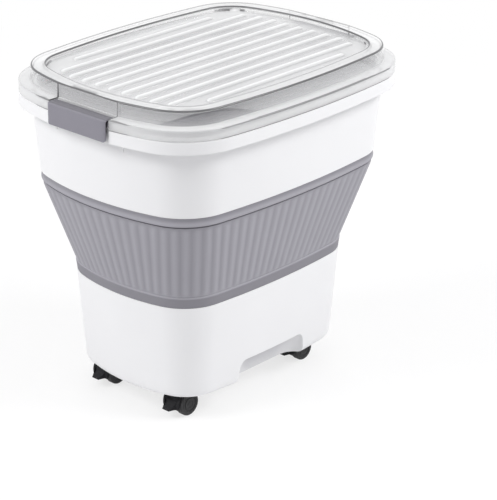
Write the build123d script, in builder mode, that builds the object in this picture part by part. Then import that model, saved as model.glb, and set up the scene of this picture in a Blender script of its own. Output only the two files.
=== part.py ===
from build123d import *
import os
from math import cos, radians, sin, tan

# Collapsible rice storage bin: a tub and an upper frame joined by a folding wall,
# a clear ribbed lid held by a latch at each end, and four twin-wheel casters.
# X runs along the long sides, Y across them, Z up from the floor under the wheels.

# Heights, from the floor up
ground_clearance = 28.0
tub_height = 110.5
lower_collar_height = 13.0
folding_wall_height = 92.0
upper_collar_height = 12.0
upper_wall_height = 89.5
lid_flange_height = 12.0
lid_crown_height = 16.0

# Plan sizes: every outline is a rectangle with bowed sides and round corners
long_bow_share = 0.088
short_bow_share = 0.137
rim_length = 390.0
rim_width = 302.0
rim_corner = 76.0
frame_inset_x = 19.8
frame_inset_y = 19.7
frame_corner_step = 17.3
frame_draft = 4.5
tub_foot_length = 275.0
tub_foot_width = 190.0
tub_foot_corner = 45.0
tub_draft = 4.2
crown_ledge_x = 11.4
crown_ledge_y = 13.5
crown_corner_step = 15.0
crown_draft = 3.6
panel_margin_x = 16.6
panel_margin_y = 16.0
panel_corner_step = 16.0

# Walls
tub_wall = 2.4
tub_floor = 2.6
tub_foot_round = 10.0
frame_wall = 2.4
folding_wall_thickness = 2.0
folding_wall_step = 0.8
collar_skin = 1.2
collar_tongue_height = 9.0
bond_gap = 0.1

# Grip notches at the foot of the long sides
grip_width_share = 0.4
grip_lean = 4.5
grip_height = 27.5
grip_depth = 16.0
grip_corner = 10.0

# Rim of the upper frame
skirt_height = 14.0
skirt_wall = 2.0
rim_plate = 2.2
rim_edge_chamfer = 0.8
gusset_drop = 13.0
gusset_thickness = 1.8
gusset_gap = 6.0

# Lid
lid_wall = 2.2
lid_plate = 2.0
lid_edge_round = 1.2
panel_recess = 6.0
rib_count = 11
rib_side_gap = 23.5
rib_width = 10.0
rib_height = 2.5
rib_slant = 38.0
rib_end_gap = 16.5
rib_corner_gap = 246.0
rib_corner_power = 8
plug_depth = 7.0
plug_wall = 2.0
plug_clearance = 1.5
gasket_height = 3.0
gasket_groove = 0.8
gasket_lift = 2.0
gasket_clearance = 0.3

# End latches, hinged in notches of the lid flange
latch_width = 85.0
latch_height = 24.5
latch_plate = 3.0
latch_proud = 2.0
latch_top_depth = 11.5
latch_round = 2.5
latch_side_gap = 0.6
latch_barrel_radius = 3.6
latch_axis_inset = 8.5
latch_axis_drop = 6.4
latch_window_depth = 16.0
trunnion_radius = 2.0
trunnion_length = 2.6
trunnion_clearance = 0.05
ear_width = 4.0
ear_reach = 4.2
pocket_depth = 4.4
seat_gap = 3.5
seat_wall = 2.2
seat_margin = 2.0
snap_length = 60.0
snap_ridge = 1.1
snap_height = 1.6
snap_gap = 0.4
snap_drop = 8.0

# Casters
caster_inset_x = 43.5
caster_inset_y = 40.0
wheel_radius = 13.5
wheel_width = 8.6
wheel_gap = 0.4
wheel_edge_round = 1.2
wheel_dish_radius = 9.0
wheel_dish_ring = 2.2
wheel_dish_depth = 0.8
wheel_bore_depth = 6.8
caster_trail = 9.0
axle_radius = 1.6
axle_clearance = 0.05
hood_width = 29.0
hood_gap = 1.0
hood_wall = 1.7
hood_lead_angle = 52.0
hood_back_angle = 176.0
hood_lip_angle = 202.0
hood_lip_reach = 4.0
web_thickness = 9.6
web_hub_inset = 2.0
stem_radius = 2.5
stem_clearance = 0.05
stem_reach = 13.0
stem_collar_radius = 4.5
stem_collar_height = 1.0
stem_grip = 8.0
stem_tip_gap = 0.3
boss_radius = 8.0
well_radius = 27.0
well_depth = 13.5

# Length by which a cut passes the face it opens
cut_overrun = 5.0

# Levels worked out from the heights
tub_bottom = ground_clearance
tub_top = tub_bottom + tub_height
cone_bottom = tub_top + lower_collar_height
cone_top = cone_bottom + folding_wall_height
frame_bottom = cone_top + upper_collar_height
rim_top = frame_bottom + upper_wall_height
flange_top = rim_top + lid_flange_height
lid_top = flange_top + lid_crown_height
floor_top = tub_bottom + tub_floor
skirt_bottom = rim_top - skirt_height
plug_bottom = rim_top - plug_depth
well_top = tub_bottom + well_depth

# Plan sizes that follow the rim and the tub's foot
frame_foot_length = rim_length - 2 * frame_inset_x
frame_foot_width = rim_width - 2 * frame_inset_y
frame_foot_corner = rim_corner - frame_corner_step
crown_foot_length = rim_length - 2 * crown_ledge_x
crown_foot_width = rim_width - 2 * crown_ledge_y
crown_foot_corner = rim_corner - crown_corner_step
panel_length = crown_foot_length - 2 * panel_margin_x
panel_width = crown_foot_width - 2 * panel_margin_y
panel_corner = crown_foot_corner - panel_corner_step
rib_pitch = (panel_width - 2 * rib_side_gap) / (rib_count - 1)
grip_foot_width = tub_foot_length * grip_width_share
grip_top_width = grip_foot_width - 2 * grip_lean

# Latch places, on the end at +X
latch_face = rim_length / 2 + latch_proud
latch_back = latch_face - latch_plate
latch_top = flange_top
latch_foot = latch_top - latch_height
latch_axis_x = latch_face - latch_axis_inset
latch_axis_z = latch_top - latch_axis_drop
window_half = latch_width / 2 + latch_side_gap
window_inner = latch_face - latch_window_depth
seat_face = latch_back - seat_gap
ridge_z = skirt_bottom + snap_drop

# Caster places
caster_x = tub_foot_length / 2 - caster_inset_x
caster_y = tub_foot_width / 2 - caster_inset_y
caster_places = {
    "left_front": (-caster_x, -caster_y),
    "right_front": (caster_x, -caster_y),
    "left_back": (-caster_x, caster_y),
    "right_back": (caster_x, caster_y),
}
hood_inner = wheel_radius + hood_gap
hood_outer = hood_inner + hood_wall
wheel_side = web_thickness / 2 + wheel_gap
boss_bottom = well_top - stem_grip - stem_tip_gap
stem_collar_bottom = boss_bottom - stem_collar_height
hood_boss_top = stem_collar_bottom
stem_bottom = hood_boss_top - stem_reach

os.makedirs("parts", exist_ok=True)


def outline(length, width, corner, height):
    # Rectangle with bowed sides and round corners, lying flat at a height
    half_x = length / 2
    half_y = width / 2
    corner_x = half_x * (1 - short_bow_share)
    corner_y = half_y * (1 - long_bow_share)
    with BuildSketch(Plane.XY.offset(height)) as face:
        with BuildLine():
            ThreePointArc((-corner_x, -corner_y), (0, -half_y), (corner_x, -corner_y))
            ThreePointArc((corner_x, -corner_y), (half_x, 0), (corner_x, corner_y))
            ThreePointArc((corner_x, corner_y), (0, half_y), (-corner_x, corner_y))
            ThreePointArc((-corner_x, corner_y), (-half_x, 0), (-corner_x, -corner_y))
        make_face()
        fillet(face.vertices(), corner)
    return face.sketch


def tub_outline(inset, height):
    # Outline of the tapered tub at a height, drawn in from its outside by an inset
    growth = (height - tub_bottom) * tan(radians(tub_draft)) - inset
    return outline(
        tub_foot_length + 2 * growth, tub_foot_width + 2 * growth, tub_foot_corner + growth, height
    )


def frame_outline(inset, height):
    # Outline of the tapered upper frame at a height, drawn in by an inset
    growth = (height - cone_top) * tan(radians(frame_draft)) - inset
    return outline(
        frame_foot_length + 2 * growth, frame_foot_width + 2 * growth, frame_foot_corner + growth, height
    )


def tub_blank(inset, start, stop, mode=Mode.ADD):
    # Block of the tub between two heights
    loft(sections=[tub_outline(inset, start), tub_outline(inset, stop)], ruled=True, mode=mode)


def frame_blank(inset, start, stop, mode=Mode.ADD):
    # Block of the upper frame between two heights
    loft(sections=[frame_outline(inset, start), frame_outline(inset, stop)], ruled=True, mode=mode)


def rim_blank(inset, start, stop, mode=Mode.ADD):
    # Upright block of the rim's outline between two heights, drawn in by an inset
    face = outline(rim_length - 2 * inset, rim_width - 2 * inset, rim_corner - inset, start)
    extrude(face, amount=stop - start, mode=mode)


def grip_blank(side, grow, mode):
    # Block of one grip notch, grown on every face by a wall thickness
    half_foot = grip_foot_width / 2 + grow
    half_top = grip_top_width / 2 + grow
    reach = tub_foot_width / 2
    with BuildSketch(Plane.XZ.offset(-side * (reach - grip_depth - grow))) as face:
        with BuildLine():
            Polyline(
                (-half_foot, tub_bottom - cut_overrun),
                (half_foot, tub_bottom - cut_overrun),
                (half_foot, tub_bottom),
                (half_top, tub_bottom + grip_height + grow),
                (-half_top, tub_bottom + grip_height + grow),
                (-half_foot, tub_bottom),
                close=True,
            )
        make_face()
        fillet(face.vertices().group_by(Axis.Y)[-1], grip_corner + grow)
    extrude(face.sketch, amount=-side * reach, mode=mode)


def save(piece, name):
    piece.part.label = name
    export_step(piece.part, f"parts/{name}.step")


# Tub: white shell with grip notches, caster wells and stem bosses
with BuildPart() as tub_cavity:
    tub_blank(tub_wall, floor_top, cone_bottom + cut_overrun)
    fillet(tub_cavity.edges().group_by(Axis.Z)[0], tub_foot_round - tub_wall)
    for side in (-1, 1):
        grip_blank(side, tub_wall, Mode.SUBTRACT)
    for x, y in caster_places.values():
        with Locations((x, y, floor_top - cut_overrun)):
            Cylinder(
                well_radius + tub_wall,
                well_top + tub_floor - floor_top + cut_overrun,
                align=(Align.CENTER, Align.CENTER, Align.MIN),
                mode=Mode.SUBTRACT,
            )

with BuildPart() as base_tub:
    tub_blank(0, tub_bottom, tub_top)
    fillet(base_tub.edges().group_by(Axis.Z)[0], tub_foot_round)
    tub_blank(collar_skin + bond_gap, tub_top, tub_top + collar_tongue_height)
    add(tub_cavity.part, mode=Mode.SUBTRACT)
    for side in (-1, 1):
        grip_blank(side, 0, Mode.SUBTRACT)
    for x, y in caster_places.values():
        with Locations((x, y, tub_bottom - cut_overrun)):
            Cylinder(
                well_radius,
                well_depth + cut_overrun,
                align=(Align.CENTER, Align.CENTER, Align.MIN),
                mode=Mode.SUBTRACT,
            )
        with Locations((x, y, boss_bottom)):
            Cylinder(boss_radius, well_top - boss_bottom, align=(Align.CENTER, Align.CENTER, Align.MIN))
            Cylinder(
                stem_radius,
                stem_grip + stem_tip_gap,
                align=(Align.CENTER, Align.CENTER, Align.MIN),
                mode=Mode.SUBTRACT,
            )
save(base_tub, "base_tub")

# Lower collar: soft band bonded round the tub's tongue
with BuildPart() as lower_collar:
    tub_blank(0, tub_top, cone_bottom)
    tub_blank(collar_skin, tub_top - cut_overrun, tub_top + collar_tongue_height, Mode.SUBTRACT)
    tub_blank(tub_wall, tub_top - cut_overrun, cone_bottom + cut_overrun, Mode.SUBTRACT)
save(lower_collar, "lower_collar")

# Folding wall: the soft cone that turns inside out when the bin is pushed flat
with BuildPart() as folding_wall:
    for inset, mode in ((0, Mode.ADD), (folding_wall_thickness, Mode.SUBTRACT)):
        depth = folding_wall_step + inset
        foot = tub_outline(depth, cone_bottom)
        head = frame_outline(depth, cone_top)
        loft(sections=[foot, head], ruled=True, mode=mode)
save(folding_wall, "folding_wall")

# Upper collar: soft band bonded round the upper frame's tongue
with BuildPart() as upper_collar:
    frame_blank(0, cone_top, frame_bottom)
    frame_blank(collar_skin, frame_bottom - collar_tongue_height, frame_bottom + cut_overrun, Mode.SUBTRACT)
    frame_blank(frame_wall, cone_top - cut_overrun, frame_bottom + cut_overrun, Mode.SUBTRACT)
save(upper_collar, "upper_collar")

# Upper frame: white ring with a turned-down rim, latch seats and gussets
with BuildPart() as upper_frame:
    rim_blank(0, skirt_bottom, rim_top)
    chamfer(upper_frame.edges().group_by(Axis.Z)[-1], rim_edge_chamfer)
    rim_blank(skirt_wall, skirt_bottom, rim_top - rim_plate, Mode.SUBTRACT)
    for side in (-1, 1):
        with Locations((side * (seat_face + rim_length) / 2, 0, (skirt_bottom + rim_top) / 2)):
            Box(
                rim_length - seat_face,
                2 * window_half,
                skirt_height + 2 * cut_overrun,
                mode=Mode.SUBTRACT,
            )
        with Locations((side * (seat_face - seat_wall / 2), 0, (skirt_bottom + rim_top) / 2)):
            Box(seat_wall, 2 * (window_half + seat_margin), skirt_height)
        with Locations((side * seat_face, 0, ridge_z)):
            Box(2 * snap_ridge, snap_length, snap_height)
        for hand in (-1, 1):
            gusset_y = hand * (window_half + gusset_gap)
            wall_x = rim_length / 2 * (1 - short_bow_share)
            with BuildSketch(Plane.XZ.offset(-gusset_y)) as gusset:
                with BuildLine():
                    Polyline(
                        (side * wall_x, rim_top - rim_plate),
                        (side * (seat_face - seat_wall), rim_top - rim_plate),
                        (side * (seat_face - seat_wall), skirt_bottom),
                        (side * wall_x, skirt_bottom - gusset_drop),
                        close=True,
                    )
                make_face()
            extrude(amount=gusset_thickness / 2, both=True)
    frame_blank(0, frame_bottom, rim_top)
    frame_blank(collar_skin + bond_gap, frame_bottom - collar_tongue_height, frame_bottom)
    frame_blank(frame_wall, cone_top, rim_top + cut_overrun, Mode.SUBTRACT)
save(upper_frame, "upper_frame")

# Lid: clear cover with a flange, a crown, a ribbed panel and a plug inside the rim
crown_start = flange_top - lid_plate
pocket_face = crown_foot_length / 2 - pocket_depth


def crown_outline(inset, height):
    # Outline of the lid's tapered crown at a height, drawn in by an inset
    growth = (crown_start - height) * tan(radians(crown_draft)) - inset
    return outline(
        crown_foot_length + 2 * growth, crown_foot_width + 2 * growth, crown_foot_corner + growth, height
    )


def crown_blank(inset, start, stop, mode=Mode.ADD):
    # Block of the lid's crown between two heights
    loft(sections=[crown_outline(inset, start), crown_outline(inset, stop)], ruled=True, mode=mode)


def pocket_cut(grow, mode):
    # Room behind the latches, cut flat into the ends of the crown
    for side in (-1, 1):
        with Locations((side * (pocket_face - grow), 0, crown_start)):
            Box(
                2 * pocket_depth + 2 * grow,
                2 * (window_half + grow),
                lid_crown_height + lid_plate + cut_overrun,
                align=(Align.MIN if side > 0 else Align.MAX, Align.CENTER, Align.MIN),
                mode=mode,
            )


with BuildPart() as lid_cavity:
    crown_blank(lid_wall, crown_start, lid_top - lid_plate)
    pocket_cut(lid_wall, Mode.SUBTRACT)
    panel_ceiling = outline(
        panel_length + 2 * lid_wall,
        panel_width + 2 * lid_wall,
        panel_corner + lid_wall,
        lid_top - panel_recess - lid_plate,
    )
    extrude(panel_ceiling, amount=panel_recess + lid_plate, mode=Mode.SUBTRACT)

rim_bore_growth = (plug_bottom - cone_top) * tan(radians(frame_draft)) - frame_wall
plug_length = frame_foot_length + 2 * (rim_bore_growth - plug_clearance)
plug_width = frame_foot_width + 2 * (rim_bore_growth - plug_clearance)
plug_corner = frame_foot_corner + rim_bore_growth - plug_clearance
gasket_bottom = plug_bottom + gasket_lift


def plug_blank(inset, start, stop, mode=Mode.ADD):
    # Upright block of the plug's outline, drawn in by an inset
    face = outline(plug_length - 2 * inset, plug_width - 2 * inset, plug_corner - inset, start)
    extrude(face, amount=stop - start, mode=mode)


with BuildPart() as lid_cover:
    rim_blank(0, rim_top, flange_top)
    fillet(lid_cover.edges().group_by(Axis.Z)[-1], lid_edge_round)
    rim_blank(skirt_wall, rim_top, crown_start, Mode.SUBTRACT)
    for side in (-1, 1):
        with Locations((side * window_inner, 0, (rim_top + flange_top) / 2)):
            Box(
                latch_window_depth + cut_overrun,
                2 * window_half,
                lid_flange_height + 2 * cut_overrun,
                align=(Align.MIN if side > 0 else Align.MAX, Align.CENTER, Align.CENTER),
                mode=Mode.SUBTRACT,
            )
        for hand in (-1, 1):
            with Locations((side * latch_axis_x, hand * (window_half + ear_width / 2), crown_start)):
                Box(
                    2 * ear_reach,
                    ear_width,
                    crown_start - latch_axis_z + ear_reach,
                    align=(Align.CENTER, Align.CENTER, Align.MAX),
                )
        with Locations(Plane((side * latch_axis_x, 0, latch_axis_z), z_dir=(0, 1, 0))):
            Cylinder(
                trunnion_radius + trunnion_clearance,
                latch_width + 2 * (trunnion_length + latch_side_gap),
                mode=Mode.SUBTRACT,
            )
    plug_blank(0, plug_bottom, crown_start)
    crown_blank(0, crown_start, lid_top)
    fillet(lid_cover.edges().group_by(Axis.Z)[-1], lid_edge_round)
    pocket_cut(0, Mode.SUBTRACT)
    panel_face = outline(panel_length, panel_width, panel_corner, lid_top - panel_recess)
    extrude(panel_face, amount=panel_recess + cut_overrun, mode=Mode.SUBTRACT)
    plug_blank(plug_wall, plug_bottom, crown_start, Mode.SUBTRACT)
    add(lid_cavity.part, mode=Mode.SUBTRACT)
    plug_blank(0, gasket_bottom, gasket_bottom + gasket_height, Mode.SUBTRACT)
    plug_blank(gasket_groove, gasket_bottom, gasket_bottom + gasket_height)
    plug_blank(plug_wall, gasket_bottom, gasket_bottom + gasket_height, Mode.SUBTRACT)
    rib_middle = (rib_count - 1) / 2
    for index in range(rib_count):
        rib_y = (index - rib_middle) * rib_pitch
        corner_share = (abs(rib_y) / (panel_width / 2)) ** rib_corner_power
        rib_length = panel_length - 2 * rib_end_gap - 2 * rib_corner_gap * corner_share
        with BuildSketch(Plane.XY.offset(lid_top - panel_recess)):
            with Locations((0, rib_y)):
                SlotOverall(rib_length, rib_width)
        extrude(amount=rib_height, taper=rib_slant)
save(lid_cover, "lid_cover")

# Gasket: soft ring in the plug's groove
with BuildPart() as lid_gasket:
    plug_blank(gasket_clearance - plug_clearance, gasket_bottom, gasket_bottom + gasket_height)
    plug_blank(gasket_groove, gasket_bottom, gasket_bottom + gasket_height, Mode.SUBTRACT)
save(lid_gasket, "lid_gasket")

# Latches: angled plates that hang from the lid and snap under a ridge on the rim
for side, hand in ((-1, "left"), (1, "right")):
    with BuildPart() as latch:
        with BuildSketch(Plane.XZ) as profile:
            with BuildLine():
                Polyline(
                    (side * latch_face, latch_foot),
                    (side * latch_face, latch_top),
                    (side * (latch_face - latch_top_depth), latch_top),
                    (side * (latch_face - latch_top_depth), latch_top - latch_plate),
                    (side * latch_back, latch_top - latch_plate),
                    (side * latch_back, latch_foot),
                    close=True,
                )
            make_face()
            outer_corner = profile.vertices().group_by(Axis.Y)[-1].sort_by(Axis.X)[0 if side < 0 else -1]
            fillet(outer_corner, latch_round)
            with Locations((side * latch_axis_x, latch_axis_z)):
                Circle(latch_barrel_radius)
        extrude(amount=latch_width / 2, both=True)
        foot_edges = latch.edges().filter_by(Axis.X).group_by(Axis.Z)[0]
        fillet(foot_edges, latch_round)
        with Locations((side * (latch_back - seat_gap / 2 + snap_gap / 2), 0, latch_foot + snap_height / 2)):
            Box(seat_gap - snap_gap, snap_length, snap_height)
        with Locations(Plane((side * latch_axis_x, 0, latch_axis_z), z_dir=(0, 1, 0))):
            Cylinder(trunnion_radius, latch_width + 2 * trunnion_length)
    save(latch, f"latch_{hand}")

# Casters: a hood swivelling on a stem, with two wheels on one axle
for place, (x, y) in caster_places.items():
    upright = Plane((x, y, 0), x_dir=(1, 0, 0), z_dir=(0, -1, 0))
    axle_line = Plane((x - caster_trail, y, wheel_radius), x_dir=(1, 0, 0), z_dir=(0, -1, 0))
    with BuildPart() as hood:
        with BuildSketch(axle_line):
            with BuildLine():
                lip = radians(hood_lip_angle)
                fender = CenterArc((0, 0), hood_outer, hood_lead_angle, hood_back_angle - hood_lead_angle)
                liner = CenterArc((0, 0), hood_inner, hood_lead_angle, hood_lip_angle - hood_lead_angle)
                tip_reach = hood_outer + hood_lip_reach
                Polyline(fender @ 1, (tip_reach * cos(lip), tip_reach * sin(lip)), liner @ 1)
                Line(fender @ 0, liner @ 0)
            make_face()
        extrude(amount=hood_width / 2, both=True)
        with BuildSketch(axle_line):
            Circle(hood_inner + hood_wall / 2)
            with Locations((0, hood_outer)):
                Rectangle(2 * hood_outer, 2 * hood_outer, mode=Mode.INTERSECT)
            Circle(wheel_radius - web_hub_inset)
        extrude(amount=web_thickness / 2, both=True)
        with Locations((x, y, stem_bottom)):
            Cylinder(
                web_thickness / 2,
                hood_boss_top - stem_bottom,
                align=(Align.CENTER, Align.CENTER, Align.MIN),
            )
            Cylinder(
                stem_radius + stem_clearance,
                hood_boss_top - stem_bottom + cut_overrun,
                align=(Align.CENTER, Align.CENTER, Align.MIN),
                mode=Mode.SUBTRACT,
            )
        with Locations(axle_line):
            Cylinder(axle_radius, hood_width, mode=Mode.SUBTRACT)
    save(hood, f"{place}_hood")

    with BuildPart() as stem:
        with Locations((x, y, stem_bottom + stem_tip_gap)):
            Cylinder(
                stem_radius,
                boss_bottom + stem_grip - stem_bottom - stem_tip_gap,
                align=(Align.CENTER, Align.CENTER, Align.MIN),
            )
        with Locations((x, y, stem_collar_bottom)):
            Cylinder(stem_collar_radius, stem_collar_height, align=(Align.CENTER, Align.CENTER, Align.MIN))
    save(stem, f"{place}_stem")

    with BuildPart() as axle:
        with Locations(axle_line):
            Cylinder(axle_radius, 2 * (wheel_side + wheel_bore_depth - axle_clearance))
    save(axle, f"{place}_axle")

    for wheel_name, facing in (("near", 1), ("far", -1)):
        inner_face = axle_line.offset(facing * wheel_side)
        outer_face = axle_line.offset(facing * (wheel_side + wheel_width))
        with BuildPart() as wheel:
            with BuildSketch(inner_face):
                Circle(wheel_radius)
            extrude(amount=facing * wheel_width)
            fillet(wheel.edges(), wheel_edge_round)
            with BuildSketch(inner_face):
                Circle(axle_radius + axle_clearance)
            extrude(amount=facing * wheel_bore_depth, mode=Mode.SUBTRACT)
            with BuildSketch(outer_face):
                Circle(wheel_dish_radius)
                Circle(wheel_dish_radius - wheel_dish_ring, mode=Mode.SUBTRACT)
            extrude(amount=-facing * wheel_dish_depth, mode=Mode.SUBTRACT)
        save(wheel, f"{place}_wheel_{wheel_name}")
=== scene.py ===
import math
import bmesh
import bpy
import numpy as np
from mathutils import Matrix, Vector


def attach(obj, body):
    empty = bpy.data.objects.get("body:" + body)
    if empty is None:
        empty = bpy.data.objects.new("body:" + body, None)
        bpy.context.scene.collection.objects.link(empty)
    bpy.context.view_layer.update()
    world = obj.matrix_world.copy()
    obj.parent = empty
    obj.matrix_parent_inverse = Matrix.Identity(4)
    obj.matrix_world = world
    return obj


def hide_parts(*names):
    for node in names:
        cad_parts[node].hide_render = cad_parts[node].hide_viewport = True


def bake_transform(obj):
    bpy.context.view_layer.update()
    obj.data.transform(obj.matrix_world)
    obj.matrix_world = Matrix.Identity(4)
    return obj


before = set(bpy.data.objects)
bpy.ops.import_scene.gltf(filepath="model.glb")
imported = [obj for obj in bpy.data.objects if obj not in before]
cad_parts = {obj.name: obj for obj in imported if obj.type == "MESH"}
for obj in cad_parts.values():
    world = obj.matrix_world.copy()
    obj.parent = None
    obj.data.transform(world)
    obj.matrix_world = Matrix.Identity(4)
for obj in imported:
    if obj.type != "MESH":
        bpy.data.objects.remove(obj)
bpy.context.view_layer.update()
mm = 0.001
print("frame loaded:", len(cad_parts), "nodes")

# heights and plan sizes in millimetres, as the solids have them
tubFoot, floorTop, wellTop, tubTop, coneFoot = 28.0, 30.6, 41.5, 138.5, 151.5
coneTop, frameFoot, skirtFoot, plugFoot, rimTop = 243.5, 255.5, 331.0, 338.0, 345.0
crownFoot, flangeTop, panelTop, lidTop = 355.0, 357.0, 367.0, 373.0
bow = {"long": 0.088, "short": 0.137}  # how far each side bulges, as a share of the half size
plan = {  # half length, half width, corner, height where they hold, slope of the wall
    "tub": (137.5, 95.0, 45.0, tubFoot, math.tan(math.radians(4.2))),
    "frame": (175.2, 131.3, 58.7, coneTop, math.tan(math.radians(4.5))),
    "rim": (195.0, 151.0, 76.0, rimTop, 0.0),
    "crown": (183.6, 137.5, 61.0, crownFoot, -math.tan(math.radians(3.6))),
    "panel": (167.0, 121.5, 45.0, panelTop, 0.0),
    "plug": (178.737, 134.837, 62.237, plugFoot, 0.0),
}


def ringAt(kind, inset, z):  # half length, half width, corner and height of one outline
    halfX, halfY, corner, start, slope = plan[kind]
    grow = (z - start) * slope - inset
    return np.array([halfX + grow, halfY + grow, corner + grow, z])


def softened(rows, steps, closed, guard=1.2):  # rows are plan, inset, height, radius and clamp
    corners = [(ringAt(*row[:3]), row[3], row[4] if len(row) > 4 else None) for row in rows]
    last = len(corners) - 1
    rings = []  # ring, clamp, and 1 on a rounded edge
    for i, (ring, radius, clamp) in enumerate(corners):
        if radius == 0 or (not closed and i in (0, last)):
            rings.append((ring, clamp, 0.0))
            continue
        ends = []
        for other in (corners[i - 1][0], corners[(i + 1) % len(corners)][0]):
            gap = max(math.hypot(other[0] - ring[0], other[3] - ring[3]), 1e-6)
            near = min(radius / gap, 0.42)  # less than half, so that neighbours never meet
            far = min((radius + guard) / gap, 0.48)
            ends.append((ring + (other - ring) * near, ring + (other - ring) * far))
        (begin, beginFar), (end, endFar) = ends
        rings.append((beginFar, clamp, 0.0))
        for t in np.linspace(0, 1, steps + 1):
            point = (1 - t) ** 2 * begin + 2 * t * (1 - t) * ring + t * t * end
            rings.append((point, clamp, 1.0))
        rings.append((endFar, clamp, 0.0))
    return rings


def columnsOf(marks=(), sideCount=20, cornerCount=26, longCount=28):  # stations round a quarter
    columns = [("y", 0.0)] + [("y", m) for m in marks]
    for kind, count in (("short", sideCount), ("corner", cornerCount), ("long", longCount)):
        columns += [(kind, u) for u in np.linspace(0, 1, count + 1)[1:]]
    return columns


def quarter(ring, columns):  # points of a quarter outline: two bowed sides and a tangent corner
    halfX, halfY, corner, z = ring
    cornerX, cornerY = halfX * (1 - bow["short"]), halfY * (1 - bow["long"])
    sagLong, sagShort = halfY - cornerY, halfX - cornerX
    bigLong = (cornerX ** 2 + sagLong ** 2) / (2 * sagLong)
    bigShort = (cornerY ** 2 + sagShort ** 2) / (2 * sagShort)
    midLong, midShort = np.array([0, halfY - bigLong]), np.array([halfX - bigShort, 0])
    apart = np.linalg.norm(midShort - midLong)
    toLong, toShort = bigLong - corner, bigShort - corner
    along = (toLong * toLong - toShort * toShort + apart * apart) / (2 * apart)
    off = math.sqrt(max(toLong * toLong - along * along, 0))
    line = (midShort - midLong) / apart
    foot = midLong + along * line
    side = np.array([-line[1], line[0]])
    mid = max((foot + off * side, foot - off * side), key=lambda p: p[0] + p[1])
    angleShort = math.atan2(*(mid - midShort)[::-1])
    angleLong = math.atan2(*(mid - midLong)[::-1])
    points, start = [], 0.0
    for kind, u in columns:
        if kind == "y":
            turn = start = math.asin(u / bigShort)
            centre, reach = midShort, bigShort
        elif kind == "short":
            turn, centre, reach = start + (angleShort - start) * u, midShort, bigShort
        elif kind == "corner":
            turn, centre, reach = angleShort + (angleLong - angleShort) * u, mid, corner
        else:
            turn, centre, reach = angleLong + (math.pi / 2 - angleLong) * u, midLong, bigLong
        points.append(centre + reach * np.array([math.cos(turn), math.sin(turn)]))
    return np.array(points)


def ringPoints(ring, columns, clamp=None):
    q = quarter(ring, columns)
    x = np.concatenate([q[:, 0], -q[-2::-1, 0], -q[1:, 0], q[-2:0:-1, 0]])
    y = np.concatenate([q[:, 1], q[-2::-1, 1], -q[1:, 1], -q[-2:0:-1, 1]])
    z = np.full_like(x, ring[3])
    if clamp:  # flat cut behind a latch: largest x, lowest z, half width
        cut = np.abs(y) <= clamp[2] + 1e-6
        hit = cut & (np.abs(x) > clamp[0])
        x[hit] = np.sign(x[hit]) * clamp[0]
        z[hit] = np.maximum(z[hit], clamp[1])
    return np.stack([x, y, z], 1)


def linked(name, data):
    piece = bpy.data.objects.new(name, data)
    bpy.context.scene.collection.objects.link(piece)
    return piece


def dropped(piece):
    mesh = piece.data
    bpy.data.objects.remove(piece)
    bpy.data.meshes.remove(mesh)


def meshPiece(name, points, faces, values=None):  # points in millimetres
    mesh = bpy.data.meshes.new(name)
    mesh.from_pydata((np.asarray(points) * mm).tolist(), [], faces)
    for key, value in (values or {}).items():
        data = np.asarray(value, np.float32)
        kind, field = ("FLOAT", "value") if data.ndim == 1 else ("FLOAT_VECTOR", "vector")
        mesh.attributes.new(key, kind, "POINT").data.foreach_set(field, data.ravel())
    return linked(name, mesh)


def shaded(piece, angle=34):
    piece.data.polygons.foreach_set("use_smooth", [True] * len(piece.data.polygons))
    piece.data.set_sharp_from_angle(angle=math.radians(angle))
    return piece


def cleaned(piece, angle=34, merge=1e-6):
    work = bmesh.new()
    work.from_mesh(piece.data)
    bmesh.ops.remove_doubles(work, verts=work.verts, dist=merge)
    bmesh.ops.dissolve_degenerate(work, edges=work.edges, dist=merge)
    bmesh.ops.recalc_face_normals(work, faces=work.faces)
    work.to_mesh(piece.data)
    work.free()
    piece.data.validate()  # drops faces that fell together in the merge
    return shaded(piece, angle)


def lattice(rows, count, wrap=False, ring=True):  # quads between rows of points
    faces = []
    for i in range(rows if wrap else rows - 1):
        a, b = i * count, ((i + 1) % rows) * count
        for k in range(count if ring else count - 1):
            after = (k + 1) % count
            faces.append((a + k, a + after, b + after, b + k))
    return faces


def endCaps(rows, count):  # one face over the first row and one over the last
    return [tuple(range(count)), tuple(range((rows - 1) * count, rows * count))]


def capStrips(count, first):  # closes an outline with strips across it
    q = count // 4
    faces = []
    for half in (0, 2 * q):
        for i in range(q):
            strip = [half + i, half + i + 1, half + 2 * q - i - 1, half + 2 * q - i]
            strip = [first + k % count for k in strip]
            faces.append(tuple(dict.fromkeys(strip)))
    return faces


def shell(name, rows, columns, closed=False, steps=4, marks=None):  # sweeps a section round the outline
    rings = softened(rows, steps, closed)
    sweep = [ringPoints(ring, columns, clamp) for ring, clamp, edge in rings]
    count = len(sweep[0])
    faces = lattice(len(sweep), count, closed)
    if not closed:
        faces += capStrips(count, 0) + capStrips(count, (len(sweep) - 1) * count)
    points = np.concatenate(sweep)
    edges = np.repeat([edge for ring, clamp, edge in rings], count)
    values = {"edge": edges, **(marks(points, edges) if marks else {})}
    return cleaned(meshPiece(name, points, faces, values))


def fadeIn(values, start, end):  # 0 at start, 1 at end
    return np.clip((values - start) / (end - start), 0, 1)


def between(values, low, high):
    return (values > low) & (values < high)


def settled(piece):  # modifiers become plain mesh
    graph = bpy.context.evaluated_depsgraph_get()
    made = bpy.data.meshes.new_from_object(piece.evaluated_get(graph))
    old = piece.data
    piece.modifiers.clear()
    piece.data = made
    bpy.data.meshes.remove(old)
    return piece


def carved(piece, tool, how="DIFFERENCE"):
    cut = piece.modifiers.new(how.lower(), "BOOLEAN")
    cut.operation, cut.solver, cut.object = how, "EXACT", tool
    settled(piece)
    dropped(tool)
    return piece


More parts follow.
